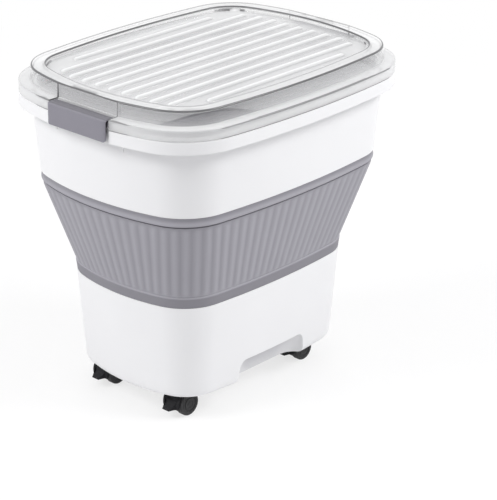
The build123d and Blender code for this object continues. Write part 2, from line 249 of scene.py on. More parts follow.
def joined(name, parts):
    work = bmesh.new()
    for part in parts:
        work.from_mesh(part.data)
        dropped(part)
    mesh = bpy.data.meshes.new(name)
    work.to_mesh(mesh)
    work.free()
    return linked(name, mesh)


def rounded(corners, steps=6):  # flat polygon with rounded corners, rows are x, y, radius
    out = []
    for i, (x, y, radius) in enumerate(corners):
        here = np.array([x, y])
        if radius == 0:
            out.append(here)
            continue
        pair = []
        for other in (corners[i - 1], corners[(i + 1) % len(corners)]):
            way = np.array(other[:2]) - here
            pair.append(way / np.linalg.norm(way))
        half = math.acos(np.clip(pair[0] @ pair[1], -1, 1)) / 2
        reach = radius / math.tan(half)
        inward = (pair[0] + pair[1]) / np.linalg.norm(pair[0] + pair[1])
        centre = here + inward * radius / math.sin(half)
        a, b = here + pair[0] * reach - centre, here + pair[1] * reach - centre
        start = math.atan2(a[1], a[0])
        turn = (math.atan2(b[1], b[0]) - start + math.pi) % (2 * math.pi) - math.pi
        for t in np.linspace(0, 1, steps + 1):
            angle = start + turn * t
            out.append(centre + radius * np.array([math.cos(angle), math.sin(angle)]))
    return np.array(out)


def slab(name, outline, middle, half, lip, lift=None, steps=4):  # outline in x, z drawn out along y
    outline = np.asarray(outline, float)
    ahead, behind = np.roll(outline, -1, 0), np.roll(outline, 1, 0)
    if np.sum(outline[:, 0] * ahead[:, 1] - ahead[:, 0] * outline[:, 1]) < 0:
        outline = outline[::-1]
        ahead, behind = np.roll(outline, -1, 0), np.roll(outline, 1, 0)
    normal = np.zeros_like(outline)
    for way in (ahead - outline, outline - behind):
        across = np.stack([way[:, 1], -way[:, 0]], 1)
        normal += across / np.maximum(np.linalg.norm(across, axis=1, keepdims=True), 1e-9)
    normal /= np.maximum(np.linalg.norm(normal, axis=1, keepdims=True), 1e-9)
    depths = [lip * (1 - math.cos(a)) for a in np.linspace(0, math.pi / 2, steps + 1)]
    if lift:
        depths += [lift[0] * share for share in (0.3, 0.5, 0.75, 1.0)]
    depths = sorted(set(round(d, 5) for d in depths))
    rows = []
    ends = [(middle - half + d, d) for d in depths] + [(middle + half - d, d) for d in reversed(depths)]
    for y, d in ends:
        inset = lip - math.sqrt(max(lip * lip - (lip - min(d, lip)) ** 2, 0))
        flat = outline - normal * inset
        if lift and d < lift[0]:  # rounds the lower corners as seen from the end
            floor = lift[1] + lift[0] - math.sqrt(max(lift[0] ** 2 - (lift[0] - d) ** 2, 0))
            flat[:, 1] = np.maximum(flat[:, 1], floor)
        rows.append(np.stack([flat[:, 0], np.full(len(flat), y), flat[:, 1]], 1))
    faces = lattice(len(rows), len(outline)) + endCaps(len(rows), len(outline))
    return cleaned(meshPiece(name, np.concatenate(rows), faces))


def turned(name, outline, centre, axis="y", segments=72):  # rows are radius, distance along the axis
    points = []
    for k in range(segments):
        angle = 2 * math.pi * k / segments
        for radius, along in outline:
            u, v = radius * math.cos(angle), radius * math.sin(angle)
            local = (u, along, v) if axis == "y" else (u, v, along)
            points.append(np.array(centre) + np.array(local))
    return cleaned(meshPiece(name, points, lattice(segments, len(outline), wrap=True, ring=False)))


class Wire:  # one socket, with the operators that the finishes use
    def __init__(self, tree, socket):
        self.tree, self.socket = tree, socket

    def math(self, kind, other, swap=False):
        node = self.tree.nodes.new("ShaderNodeMath")
        node.operation = kind
        for slot, value in zip(node.inputs, (other, self) if swap else (self, other)):
            plug(self.tree, slot, value)
        return Wire(self.tree, node.outputs[0])

    def __add__(self, other): return self.math("ADD", other)
    def __radd__(self, other): return self.math("ADD", other, True)
    def __sub__(self, other): return self.math("SUBTRACT", other)
    def __rsub__(self, other): return self.math("SUBTRACT", other, True)
    def __mul__(self, other): return self.math("MULTIPLY", other)
    def __rmul__(self, other): return self.math("MULTIPLY", other, True)
    def __truediv__(self, other): return self.math("DIVIDE", other)
    def __pow__(self, other): return self.math("POWER", other)
    def __abs__(self): return self.math("ABSOLUTE", 0.0)
    def most(self, other): return self.math("MAXIMUM", other)
    def clamped(self): return self.math("MINIMUM", 1.0).most(0.0)
    def ramp(self, start, end): return ((self - start) / (end - start)).clamped()


def plug(tree, slot, value):
    if isinstance(value, Wire):
        tree.links.new(value.socket, slot)
    elif isinstance(value, bpy.types.NodeSocket):
        tree.links.new(value, slot)
    else:
        slot.default_value = value


class Bench:  # a node tree with one way to add any node
    def __init__(self, tree):
        self.tree = tree

    def add(self, kind, settings=None, sockets=None, out=0):
        node = self.tree.nodes.new(kind)
        for key, value in (settings or {}).items():
            setattr(node, key, value)
        for key, value in (sockets or {}).items():
            plug(self.tree, node.inputs[key], value)
        return Wire(self.tree, node.outputs[out])

    def mix(self, amount, first, second):
        return self.add("ShaderNodeMix", {"data_type": "RGBA"}, {0: amount, 6: first, 7: second}, out=2)

    def split(self, place):  # x, y and z of a place
        first = self.add("ShaderNodeSeparateXYZ", sockets={0: place})
        return [Wire(self.tree, socket) for socket in first.socket.node.outputs]


class Finish(Bench):  # a material with one Principled shader
    def __init__(self, name, fixed):
        self.material = bpy.data.materials.new(name)
        self.material.use_nodes = True
        super().__init__(self.material.node_tree)
        self.shader = self.tree.nodes["Principled BSDF"]
        for key, value in fixed.items():
            self.shader.inputs[key].default_value = value
        self.place = self.add("ShaderNodeTexCoord", out=3)

    def noise(self, scale, detail=3.0, roughness=0.55, stretch=None):
        place = self.place
        if stretch:
            place = self.add("ShaderNodeMapping", sockets={"Vector": place, "Scale": stretch})
        return self.add("ShaderNodeTexNoise", sockets={
            "Vector": place, "Scale": scale, "Detail": detail, "Roughness": roughness})

    def value(self, name):
        return self.add("ShaderNodeAttribute", {"attribute_name": name}, out=2)

    def bump(self, relief, strength, distance):
        return self.add("ShaderNodeBump", sockets={"Strength": strength, "Distance": distance, "Height": relief})

    def feed(self, **links):
        for key, value in links.items():
            plug(self.tree, self.shader.inputs[key.replace("_", " ")], value)
        return self.material


def moulded(name, look, fixed, mask=None, power=1.0):  # two close colours in clouds, a grain, and a marked colour for painted shade
    f = Finish(name, fixed)
    cloud, grain = f.noise(*look["cloud"]), f.noise(*look["grain"])
    colour = f.mix(cloud ** power, look["colour"], look["shade"])
    if mask:
        colour = f.mix(mask(f), colour, look["marked"])
    plain, cloudShare, grainShare = look["roughness"]
    return f.feed(Base_Color=colour, Roughness=plain + cloudShare * cloud + grainShare * grain,
                  Normal=f.bump(grain, *look["bump"]))


# finishes: cloud and grain are noise settings, bump is strength and distance,
# roughness is a plain value and what cloud and grain add to it
gripShadeLook = {  # metres where the painted shade inside the finger notches fades in, from none to full
    "side": (0.0565, 0.055), "face": (0.0935, 0.0895), "back": (0.071, 0.074), "top": (0.0575, 0.0565),
    "rise": (0.026, 0.055), "ends": (0.024, 0.044), "footShare": 0.35, "endShare": 0.85,
}


# painted shade in the finger notches: deeper towards each notch's top, lighter towards its ends
def gripShadeMask(f):
    x, y, z = f.split(f.place)
    across, along = abs(x), abs(y)
    inside = across.ramp(*gripShadeLook["side"]) * along.ramp(*gripShadeLook["face"]) * along.ramp(*gripShadeLook["back"])
    foot = gripShadeLook["footShare"] + (1 - gripShadeLook["footShare"]) * z.ramp(*gripShadeLook["rise"])
    ends = 1.0 - gripShadeLook["endShare"] * across.ramp(*gripShadeLook["ends"])
    return inside * z.ramp(*gripShadeLook["top"]) * foot * ends


# how much painted shade each point gets
def paintedShadeMask(f):
    return f.value("paintedShade")


# marked is the painted shade colour of the finger notches
whitePlastic = moulded("whiteSatinPlastic", {
    "colour": (0.86, 0.86, 0.868, 1), "shade": (0.82, 0.82, 0.832, 1), "marked": (0.56, 0.557, 0.585, 1),
    "cloud": (9.0, 2.0), "grain": (1500.0, 2.0), "roughness": (0.34, 0.08, 0.05), "bump": (0.06, 0.00008),
}, {"Specular IOR Level": 0.45, "IOR": 1.49}, gripShadeMask)
softGrey = moulded("greySoftWall", {
    "colour": (0.375, 0.368, 0.405, 1), "shade": (0.35, 0.343, 0.378, 1), "marked": (0.16, 0.156, 0.175, 1),
    "cloud": (14.0, 3.0), "grain": (900.0, 3.0), "roughness": (0.56, 0.14, -0.06), "bump": (0.16, 0.00012),
}, {"Specular IOR Level": 0.35}, paintedShadeMask)
latchGrey = moulded("greyLatchPlastic", {
    "colour": (0.25, 0.242, 0.28, 1), "shade": (0.222, 0.215, 0.248, 1), "marked": (0.148, 0.144, 0.161, 1),
    "cloud": (24.0, 2.0), "grain": (1300.0, 2.0), "roughness": (0.4, 0.1, 0.06), "bump": (0.1, 0.0001),
}, {"Specular IOR Level": 0.42}, paintedShadeMask)
sealPale = moulded("paleSealSilicone", {
    "colour": (0.7, 0.71, 0.72, 1), "shade": (0.62, 0.63, 0.645, 1),
    "cloud": (60.0, 2.0), "grain": (700.0, 2.0), "roughness": (0.5, 0.1, 0.0), "bump": (0.1, 0.0001),
}, {"Subsurface Weight": 0.2, "Subsurface Scale": 0.002})
casterBlack = moulded("blackCasterPlastic", {
    "colour": (0.02, 0.0197, 0.0222, 1), "shade": (0.013, 0.013, 0.0147, 1),
    "cloud": (70.0, 3.0), "grain": (1600.0, 2.0), "roughness": (0.5, 0.16, 0.08), "bump": (0.18, 0.0001),
}, {"Specular IOR Level": 0.16})
scuffs, lines = (240.0, 4.0, 0.65), (300.0, 2.0, 0.5, (0.4, 0.4, 12.0))
tyreDark = moulded("darkTyrePlastic", {
    "colour": (0.030, 0.0295, 0.032, 1), "shade": (0.052, 0.051, 0.051, 1),
    "cloud": scuffs, "grain": scuffs, "roughness": (0.55, 0.2, 0.0), "bump": (0.15, 0.00012),
}, {"Specular IOR Level": 0.4}, power=2.0)
pinSteel = moulded("turnedPinSteel", {
    "colour": (0.62, 0.62, 0.63, 1), "shade": (0.48, 0.48, 0.5, 1),
    "cloud": lines, "grain": lines, "roughness": (0.28, 0.18, 0.0), "bump": (0.1, 0.00005),
}, {"Metallic": 1.0})

clearLook = {
    "colour": (0.95, 0.953, 0.957, 1), "edge": (0.13, 0.13, 0.135, 1), "veil": 0.07, "milk": 0.19, "line": 0.72,
    "gloss": 0.55, "glance": 0.28, "roughness": (0.06, 0.04), "wave": (26.0, 2.0), "bump": (0.05, 0.0006),
}
f = Finish("clearLidPlastic", {"Specular IOR Level": 0.5, "IOR": 1.5})
# line carries the painted refraction lines: a grey colour and a thicker cover along the edges
wave, line = f.noise(*clearLook["wave"]), f.value("edge")
glance = f.add("ShaderNodeLayerWeight", sockets={"Blend": clearLook["glance"]}, out=1)
cover = clearLook["veil"] + clearLook["milk"] * f.value("milk") + clearLook["line"] * line
cover = cover + clearLook["gloss"] * glance ** 2.0
clearPlastic = f.feed(Base_Color=f.mix(line, clearLook["colour"], clearLook["edge"]),
                      Roughness=clearLook["roughness"][0] + clearLook["roughness"][1] * wave,
                      Alpha=cover.clamped(), Normal=f.bump(wave, *clearLook["bump"]))
print("finishes:", len(bpy.data.materials))


def dressed(piece, material, body, node):
    piece.data.materials.clear()
    piece.data.materials.append(material)
    if body:
        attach(piece, body)
    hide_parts(node)


# base tub: tapered shell with grip notches, caster wells and stem bosses
tubSize = {
    "wall": 2.4, "footRound": 10.0, "floorInset": 16.0, "cavityTop": 160.0, "tongue": 1.3, "tongueTop": 147.5,
    "gripFoot": 55.0, "gripTop": 50.5, "gripRise": 27.5, "gripFace": 97.0, "gripBack": 77.0, "gripLean": 8.0,
    "gripScoop": 22.0, "gripTuck": 0.3, "gripCorner": 10.0, "gripUnder": 6.0,
    "wellRadius": 27.0, "wellFoot": 20.0, "wellPlate": 2.6,
    "bossRadius": 8.0, "bossFoot": 33.2, "bossTop": 42.4, "bossChamfer": 0.6, "boreRadius": 2.5,
}
gripSteps = (-2.0, -0.02, 0.25, 0.45, 0.62, 0.76, 0.87, 0.95, 1.0)  # share of the notch's depth
casterSpot = {"left_front": (-94.0, -55.0), "right_front": (94.0, -55.0),
              "left_back": (-94.0, 55.0), "right_back": (94.0, 55.0)}
t, tubWall = tubSize, tubSize["wall"]  # t is always the sizes of the piece in hand


def gripTool(side, grow, name):  # scooped notch, its walls curving into a leaning back
    t, rows = tubSize, []
    under, corner = tubFoot - t["gripUnder"], t["gripCorner"] + grow
    for step in gripSteps:
        tuck = t["gripScoop"] * (1 - math.sqrt(1 - max(step, 0.0) ** 2))
        half = t["gripFoot"] + grow - tuck
        top = t["gripTop"] + grow - tuck
        rise = tubFoot + t["gripRise"] + grow - t["gripTuck"] * tuck
        outline = rounded([(-half, under, 0), (half, under, 0), (half, tubFoot, 0), (top, rise, corner),
                           (-top, rise, corner), (-half, tubFoot, 0)], 10)
        depth = t["gripFace"] + (t["gripBack"] - grow - t["gripFace"]) * step
        lean = t["gripLean"] * max(step, 0.0) * (outline[:, 1] - tubFoot) / t["gripRise"]
        rows.append(np.stack([outline[:, 0], side * (depth + lean), outline[:, 1]], 1))
    faces = lattice(len(rows), len(rows[0])) + endCaps(len(rows), len(rows[0]))
    return cleaned(meshPiece(name, np.concatenate(rows), faces))


def post(name, x, y, radius, low, high):
    return turned(name, [(0, low), (radius, low), (radius, high), (0, high)], (x, y, 0), "z")


roundColumns = columnsOf()
tub = shell("base_tub_shell", [
    ("tub", t["floorInset"], tubFoot, 0), ("tub", 0, tubFoot, t["footRound"]), ("tub", 0, tubTop, 0.5),
    ("tub", t["tongue"], tubTop, 0), ("tub", t["tongue"], t["tongueTop"], 0)], roundColumns, steps=8)
cavity = shell("cavity", [
    ("tub", t["floorInset"], floorTop, 0), ("tub", tubWall, floorTop, t["footRound"] - tubWall),
    ("tub", tubWall, t["cavityTop"], 0)], roundColumns, steps=6)
for side in (-1, 1):
    carved(cavity, gripTool(side, tubWall, "gripWall"))
for x, y in casterSpot.values():
    carved(cavity, post("wellWall", x, y, t["wellRadius"] + tubWall, t["wellFoot"], wellTop + t["wellPlate"]))
carved(tub, cavity)
for side in (-1, 1):
    carved(tub, gripTool(side, 0, "grip"))
bore, bossOut, bossFoot, chamfer = t["boreRadius"], t["bossRadius"], t["bossFoot"], t["bossChamfer"]
for x, y in casterSpot.values():
    carved(tub, post("well", x, y, t["wellRadius"], t["wellFoot"], wellTop))
    boss = turned("boss", [
        (bore, wellTop), (bore, bossFoot), (bossOut - chamfer, bossFoot), (bossOut, bossFoot + chamfer),
        (bossOut, t["bossTop"]), (0, t["bossTop"]), (0, wellTop), (bore, wellTop)], (x, y, 0), "z", 48)
    carved(tub, boss, "UNION")
cleaned(tub, angle=32, merge=1e-5)
dressed(tub, whitePlastic, "base", "base_tub")
print("tub:", len(tub.data.polygons), "faces")

# upper frame: tapered ring with a turned-down rim, latch seats, snap ridges and gussets
windowHalf, windowWall = 43.1, 45.1  # half width of the latch windows, inside and behind their walls
windowMarks = (10.0, 20.0, 30.0, 38.0, windowHalf, 43.7, windowWall, 45.7)
rimCounts = (10, 24, 26)  # stations on a short side, a corner and a long side
rimColumns = columnsOf(windowMarks, *rimCounts)
frameSize = {
    "wall": 2.4, "tongue": 1.3, "tongueFoot": 246.5, "skirtWall": 2.0, "plate": 2.2,
    "seat": 190.5, "seatWall": 2.2, "ridgeZ": 339.0, "ridgeHalf": 30.0, "ridgeIn": 1.2, "ridgeOut": 1.1,
    "gussetY": 49.1, "gussetHalf": 0.9, "gussetDrop": 13.0, "gussetIn": 1.6,
}
t = frameSize
seatOut, seatIn = (t["seat"], 0.0, windowHalf), (t["seat"] - t["seatWall"], 0.0, windowWall)
plateFoot = rimTop - t["plate"]
upperRing = shell("upper_frame_shell", [
    ("frame", t["tongue"], t["tongueFoot"], 0.2), ("frame", t["tongue"], frameFoot, 0),
    ("frame", 0, frameFoot, 0.5), ("frame", 0, plateFoot, 1.5),
    ("rim", t["skirtWall"], plateFoot, 0.8, seatIn), ("rim", t["skirtWall"], skirtFoot, 0.3, seatIn),
    ("rim", 0, skirtFoot, 0.8, seatOut), ("rim", 0, rimTop, 1.0, seatOut),
    ("frame", t["wall"], rimTop, 0.8), ("frame", t["wall"], t["tongueFoot"], 0.2)], rimColumns, closed=True)


def wallAt(z, y, endHalf=100.0):  # half length to the middle of the frame wall
    spots = ringPoints(ringAt("frame", frameSize["wall"] / 2, z), rimColumns)
    spots = spots[(spots[:, 0] > 0) & (np.abs(spots[:, 1]) < endHalf)]
    spots = spots[np.argsort(spots[:, 1])]
    return float(np.interp(y, spots[:, 1], spots[:, 0]))


finFoot, finOut = skirtFoot - t["gussetDrop"], t["seat"] - t["gussetIn"]
wallTop, wallFoot = wallAt(plateFoot, t["gussetY"]), wallAt(finFoot, t["gussetY"])
fin = [  # hollow edge from the skirt down to the wall
    (wallTop, plateFoot + 0.5), (finOut, plateFoot + 0.5), (finOut, skirtFoot + 2.4),
    (wallTop + 7.0, skirtFoot + 0.6), (wallFoot + 3.6, skirtFoot - 2.5), (wallFoot + 2.5, finFoot + 3.0),
    (wallFoot, finFoot)]
ridgeBack, ridgeFront, ridgeZ = t["seat"] - t["ridgeIn"], t["seat"] + t["ridgeOut"], t["ridgeZ"]
ridge = [(ridgeBack, ridgeZ - 1.2, 0), (ridgeFront, ridgeZ - 0.5, 0.4),
         (ridgeFront, ridgeZ + 0.4, 0.4), (ridgeBack, ridgeZ + 1.0, 0)]
extras = [upperRing]
for side in (-1, 1):
    bead = rounded([(side * x, z, r) for x, z, r in ridge], 4)
    extras.append(slab("ridge", bead, 0, t["ridgeHalf"], lip=0.3))
    for hand in (-1, 1):
        plate = [(side * x, z) for x, z in fin]
        extras.append(slab("gusset", plate, hand * t["gussetY"], t["gussetHalf"], lip=0.25))
upperRing = shaded(joined("upper_frame_shell", extras))
dressed(upperRing, whitePlastic, "upper", "upper_frame")
print("upper frame:", len(upperRing.data.polygons), "faces")

# soft wall: fluted cone between two smooth collars
softSize = {
    "step": 0.8, "thickness": 2.0, "flutes": 86, "depth": 0.85, "crest": 0.5, "perFlute": 12, "levels": 28,
    "swell": 0.8, "endFade": 0.045, "endStep": 0.4, "tuck": 0.4, "bond": 1.2, "back": 2.4, "gap": 0.1,
}
softShade = {  # shares of the painted shade colour, and where each fades in
    "low": 0.62, "lowFade": (150.6, 149.1), "high": 0.5, "highFade": (248.5, 253.0), "stepFade": (245.4, 244.4),
    "flute": 0.3, "top": 0.42, "topFade": (0.945, 1.0),
}
t, bond, back = softSize, softSize["bond"], softSize["back"]
lowSeat, highSeat = tubTop + t["gap"], frameFoot - t["gap"]  # where the collars meet the white plastic
lowBond, highBond = tubSize["tongueTop"] + t["gap"], frameSize["tongueFoot"] - t["gap"]


# painted shade over the lower collar, all but a thin strip at its top
def lowCollarShade(p, edge):
    return {"paintedShade": fadeIn(p[:, 2], *softShade["lowFade"]) * softShade["low"]}


def highCollarShade(p, edge):  # painted shade under the frame and in the step over the flutes
    under = fadeIn(p[:, 2], *softShade["highFade"]) * softShade["high"]
    return {"paintedShade": under + fadeIn(p[:, 2], *softShade["stepFade"])}


lowCollar = shell("lower_collar_band", [
    ("tub", bond, lowSeat, 0), ("tub", 0.45, lowSeat, 0.3), ("tub", -0.15, coneFoot - 1.7, 1.1),
    ("tub", 0.6, coneFoot, 0.5), ("tub", back, coneFoot, 0), ("tub", back, lowBond, 0),
    ("tub", bond, lowBond, 0)], roundColumns, closed=True, marks=lowCollarShade)
highCollar = shell("upper_collar_band", [
    ("frame", bond, highSeat, 0), ("frame", 0.2, highSeat, 0.3), ("frame", 0.95, frameFoot - 4.2, 2.0),
    ("frame", -0.15, coneTop + 4.0, 1.1), ("frame", 0.1, coneTop + 2.2, 0.8), ("frame", 2.0, coneTop + 1.5, 0.3),
    ("frame", 2.0, coneTop, 0), ("frame", back, coneTop, 0), ("frame", back, highBond, 0),
    ("frame", bond, highBond, 0)], roundColumns, closed=True, marks=highCollarShade)
dressed(lowCollar, softGrey, "base", "lower_collar")
dressed(highCollar, softGrey, "upper", "upper_collar")


def evenColumns(ring, total):  # stations at equal steps round a quarter
    names, fine = ("short", "corner", "long"), 400
    dense = columnsOf((), fine, fine, fine)
    points = quarter(ring, dense)
    way = np.concatenate([[0], np.cumsum(np.linalg.norm(np.diff(points, axis=0), axis=1))])
    flat = np.array([0.0] + [names.index(kind) + u for kind, u in dense[1:]])
    columns = [("y", 0.0)]
    for place in np.interp(np.linspace(0, way[-1], total + 1), way, flat)[1:]:
        k = min(int(place - 1e-9), 2)
        columns.append((names[k], place - k))
    return columns


def softRing(inset, share):  # outline part of the way up the cone
    low, high = ringAt("tub", inset, coneFoot), ringAt("frame", inset, coneTop)
    return low + (high - low) * share


quarterCount = t["flutes"] * t["perFlute"] // 4
softColumns = evenColumns(softRing(t["step"], 0.5), quarterCount)
shares = np.linspace(0, 1, t["levels"])
count = 4 * quarterCount
sweep, values = [], {"around": [], "rise": [], "outward": [], "outside": []}
for inset, path, outside in ((t["step"], shares, 1.0), (t["step"] + t["thickness"], shares[::-1], 0.0)):
    for share in path:
        points = ringPoints(softRing(inset, share), softColumns)
        points[:, 2] += t["tuck"] * ((share > 0.999) * 1.0 - (share < 0.001) * 1.0)  # ends reach into the collars
        way = np.roll(points, -1, 0) - np.roll(points, 1, 0)
        normal = np.stack([way[:, 1], -way[:, 0], np.zeros(count)], 1)
        sweep.append(points)
        values["around"].append(np.arange(count) / count)
        values["rise"].append(np.full(count, share))
        values["outward"].append(normal / np.linalg.norm(normal, axis=1, keepdims=True))
        values["outside"].append(np.full(count, outside))
softWall = meshPiece("folding_wall_skin", np.concatenate(sweep), lattice(len(sweep), count, wrap=True),
                     {key: np.concatenate(rows) for key, rows in values.items()})


def newTree(name, labels, whole):  # geometry tree with named inputs, one a whole number, and their identifiers
    tree = bpy.data.node_groups.new(name, "GeometryNodeTree")
    for way in ("OUTPUT", "INPUT"):
        tree.interface.new_socket(name="Geometry", in_out=way, socket_type="NodeSocketGeometry")
    known = {}
    for label in labels:
        kind = "NodeSocketInt" if label == whole else "NodeSocketFloat"
        known[label] = tree.interface.new_socket(name=label, in_out="INPUT", socket_type=kind).identifier
    entry = tree.nodes.new("NodeGroupInput")
    return Bench(tree), {s.name: Wire(tree, s) for s in entry.outputs if s.name}, known


def grown(piece, bench, geometry, material, known, values):  # closes a tree, runs it and keeps its plain mesh
    real = bench.add("GeometryNodeRealizeInstances", sockets={"Geometry": geometry})
    done = bench.add("GeometryNodeSetMaterial", sockets={"Geometry": real, "Material": material})
    plug(bench.tree, bench.tree.nodes.new("NodeGroupOutput").inputs[0], done)
    step = piece.modifiers.new(bench.tree.name, "NODES")
    step.node_group = bench.tree
    for label, value in values.items():
        step[known[label]] = value
    return settled(piece)


fluteValues = {"Flutes": t["flutes"], "Depth": t["depth"], "Crest": t["crest"],
               "End Fade": t["endFade"], "End Step": t["endStep"]}
b, wires, known = newTree("wallFlutes", fluteValues, "Flutes")
stored = {}
for key in ("around", "rise", "outside", "outward"):
    kind = "FLOAT_VECTOR" if key == "outward" else "FLOAT"
    stored[key] = b.add("GeometryNodeInputNamedAttribute", {"data_type": kind}, {"Name": key})
swing = (stored["around"] * wires["Flutes"] * (2 * math.pi)).math("COSINE", 0.0)
bulge = (0.5 + 0.5 * swing) ** t["swell"]
fade = ((0.5 - abs(stored["rise"] - 0.5)) / wires["End Fade"]).clamped()
ease = fade * fade * (3.0 - 2.0 * fade)
dip = (1.0 - bulge) * ease
shift = wires["Crest"] * ease - dip * wires["Depth"] - wires["End Step"] * (1.0 - ease)
move = b.add("ShaderNodeVectorMath", {"operation": "SCALE"}, {
    0: stored["outward"], "Scale": shift * stored["outside"] * mm})
placed = b.add("GeometryNodeSetPosition", sockets={"Geometry": wires["Geometry"], "Offset": move})
# painted shade in the flute valleys and in a band under the upper collar
shadeTop = stored["rise"].ramp(*softShade["topFade"])
shade = (softShade["flute"] * dip + softShade["top"] * shadeTop * shadeTop) * stored["outside"]
marked = b.add("GeometryNodeStoreNamedAttribute", {"data_type": "FLOAT", "domain": "POINT"}, {
    "Geometry": placed, "Name": "paintedShade", "Value": shade})
grown(softWall, b, marked, softGrey, known, fluteValues)
cleaned(softWall, angle=50)
dressed(softWall, softGrey, None, "folding_wall")
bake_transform(softWall)
print("soft wall:", len(softWall.data.polygons), "faces")

# lid: clear cover with flange, crown, ribbed panel and plug
lidSize = {
    "wall": 2.2, "plate": 2.0, "skirtWall": 2.0, "plugWall": 2.0, "grooveDeep": 0.8, "grooveFoot": 340.0,
    "grooveTop": 343.0, "seatGap": 0.1, "pocket": 179.2, "window": 181.0, "floorInset": 3.5,
    "ribs": 11, "ribPitch": 19.6, "ribWidth": 10.0, "ribHeight": 2.5, "ribLength": 301.0, "ribEnd": 6.0,
    "ribSink": 0.6, "ribTip": 0.35, "ribGrid": (45, 13), "ribFieldX": 152.0, "ribFieldY": 112.0,
    "cornerGap": 246.0, "cornerPower": 8.0, "panelHalf": 121.5,
}
lidShade = {  # milk whitens the clear plastic, line draws its edges grey as painted refraction lines
    "topLine": 1.0, "rimLine": 0.85, "footLine": 0.3, "flangeMilk": 1.75, "borderMilk": 1.15, "panelMilk": 1.1,
    "ribMilk": 1.3, "crestHighlight": 1.6, "ribLine": 0.95, "ribFade": (0.66, 0.88), "rimFrom": 0.972,
    "panelX": 170.0, "panelY": 124.0, "pocketX": 178.0, "pocketY": (43.0, 44.4), "pocketZ": (356.0, 373.5),
}
t, lidFoot = lidSize, rimTop + lidSize["seatGap"]
pocketOut, pocketIn = (t["pocket"], 0.0, windowHalf), (t["pocket"] - t["wall"], 0.0, windowWall)
windowOut, windowIn = (t["window"], crownFoot, windowHalf), (t["window"], crownFoot, windowWall)
ceiling, crownUnder = panelTop - t["plate"], lidTop - t["plate"]
lidColumns = columnsOf(sorted((*windowMarks, 42.5, 44.3)), *rimCounts)


def lidMarks(p, edge):  # milky places and the grey of painted refraction lines along the edges
    x, y, z = np.abs(p[:, 0]), np.abs(p[:, 1]), p[:, 2]
    onPanel = (z > ceiling - 1.0) & (x < lidShade["panelX"]) & (y < lidShade["panelY"])
    milk = fadeIn(z, panelTop + 1.0, panelTop - 1.0) * onPanel
    milk = np.where(between(z, rimTop - 0.5, flangeTop + 0.6), lidShade["flangeMilk"], milk)
    milk = np.where(z > lidTop - 1.0, lidShade["borderMilk"], milk)
    halfX, halfY = plan["rim"][:2]
    reach = ((x / halfX) ** 5 + (y / halfY) ** 5) ** 0.2  # 1 at the rim, less at the crown
    low = np.where(reach > lidShade["rimFrom"], lidShade["rimLine"], lidShade["footLine"])
    strength = np.where(z > lidTop - 2.5, lidShade["topLine"], low)
    pocketEnd = between(y, *lidShade["pocketY"]) & between(z, *lidShade["pocketZ"]) & (x > lidShade["pocketX"])
    return {"milk": milk, "edge": np.maximum(edge * strength, pocketEnd * 1.0)}


lid = shell("lid_cover_clear", [
    ("panel", t["floorInset"], panelTop, 0), ("panel", 0.4, panelTop, 0.9), ("panel", -0.3, lidTop, 1.0),
    ("crown", 0, lidTop, 1.3, pocketOut), ("crown", 0, flangeTop, 0.8, pocketOut),
    ("rim", 0, flangeTop, 1.2, windowOut), ("rim", 0, lidFoot, 0.6, windowOut),
    ("rim", t["skirtWall"], lidFoot, 0.3, windowIn), ("rim", t["skirtWall"], crownFoot, 0.6, windowIn),
    ("plug", 0, crownFoot, 0.5), ("plug", 0, t["grooveTop"], 0), ("plug", t["grooveDeep"], t["grooveTop"], 0),
    ("plug", t["grooveDeep"], t["grooveFoot"], 0), ("plug", 0, t["grooveFoot"], 0), ("plug", 0, plugFoot, 0.5),
    ("plug", t["plugWall"], plugFoot, 0.5), ("plug", t["plugWall"], crownFoot, 0.6),
    ("crown", t["wall"], crownFoot, 0.4, pocketIn), ("crown", t["wall"], crownUnder, 0.8, pocketIn),
    ("panel", -t["wall"], crownUnder, 0.6), ("panel", -t["wall"], ceiling, 0.8),
    ("panel", t["floorInset"], ceiling, 0)], lidColumns, marks=lidMarks)

ribValues = {
    "Ribs": t["ribs"], "Pitch": t["ribPitch"] * mm, "Length": t["ribLength"] * mm, "Width": t["ribWidth"] * mm,
    "Height": t["ribHeight"] * mm, "End": t["ribEnd"] * mm, "Sink": t["ribSink"] * mm,
    "Corner Gap": t["cornerGap"] * mm, "Corner Power": t["cornerPower"], "Panel Half": t["panelHalf"] * mm,
}
b, wires, known = newTree("lidRibs", ribValues, "Ribs")
grid = b.add("GeometryNodeMeshGrid", sockets={
    "Size X": 2.0, "Size Y": 2.0, "Vertices X": t["ribGrid"][0], "Vertices Y": t["ribGrid"][1]})
u, v = b.split(b.add("GeometryNodeInputPosition"))[:2]
along = (1.0 - (1.0 - abs(u)) ** 2.0) * wires["Length"] * 0.5  # points gather at the ends
fromEnd = ((wires["Length"] * 0.5 - along) / wires["End"]).clamped()
endRound = (1.0 - (1.0 - fromEnd) ** 2.0) ** 0.5
across = v.math("SIGN", 0.0) * (1.0 - (1.0 - abs(v)) ** 1.5)
dome = (1.0 - abs(across) ** 3.0) * endRound * (wires["Height"] + wires["Sink"])
slim = across * (wires["Width"] * 0.5) * (t["ribTip"] + (1 - t["ribTip"]) * endRound)
sides = []
for up in (dome, 0.0):
    place = b.add("ShaderNodeCombineXYZ", sockets={0: u.math("SIGN", 0.0) * along, 1: slim, 2: up})
    sides.append(b.add("GeometryNodeSetPosition", sockets={"Geometry": grid, "Position": place}))
both = b.tree.nodes.new("GeometryNodeJoinGeometry")
for part in (sides[0], b.add("GeometryNodeFlipFaces", sockets={"Mesh": sides[1]})):
    plug(b.tree, both.inputs[0], part)
rib = b.add("GeometryNodeMergeByDistance", sockets={"Geometry": both.outputs[0], "Distance": 1e-6})
half = (wires["Ribs"] - 1.0) * 0.5
startSpot = b.add("ShaderNodeCombineXYZ", sockets={1: -1.0 * half * wires["Pitch"]})
stepSpot = b.add("ShaderNodeCombineXYZ", sockets={1: wires["Pitch"]})
row = b.add("GeometryNodeMeshLine", {"mode": "OFFSET"}, {
    "Count": wires["Ribs"], "Start Location": startSpot, "Offset": stepSpot})
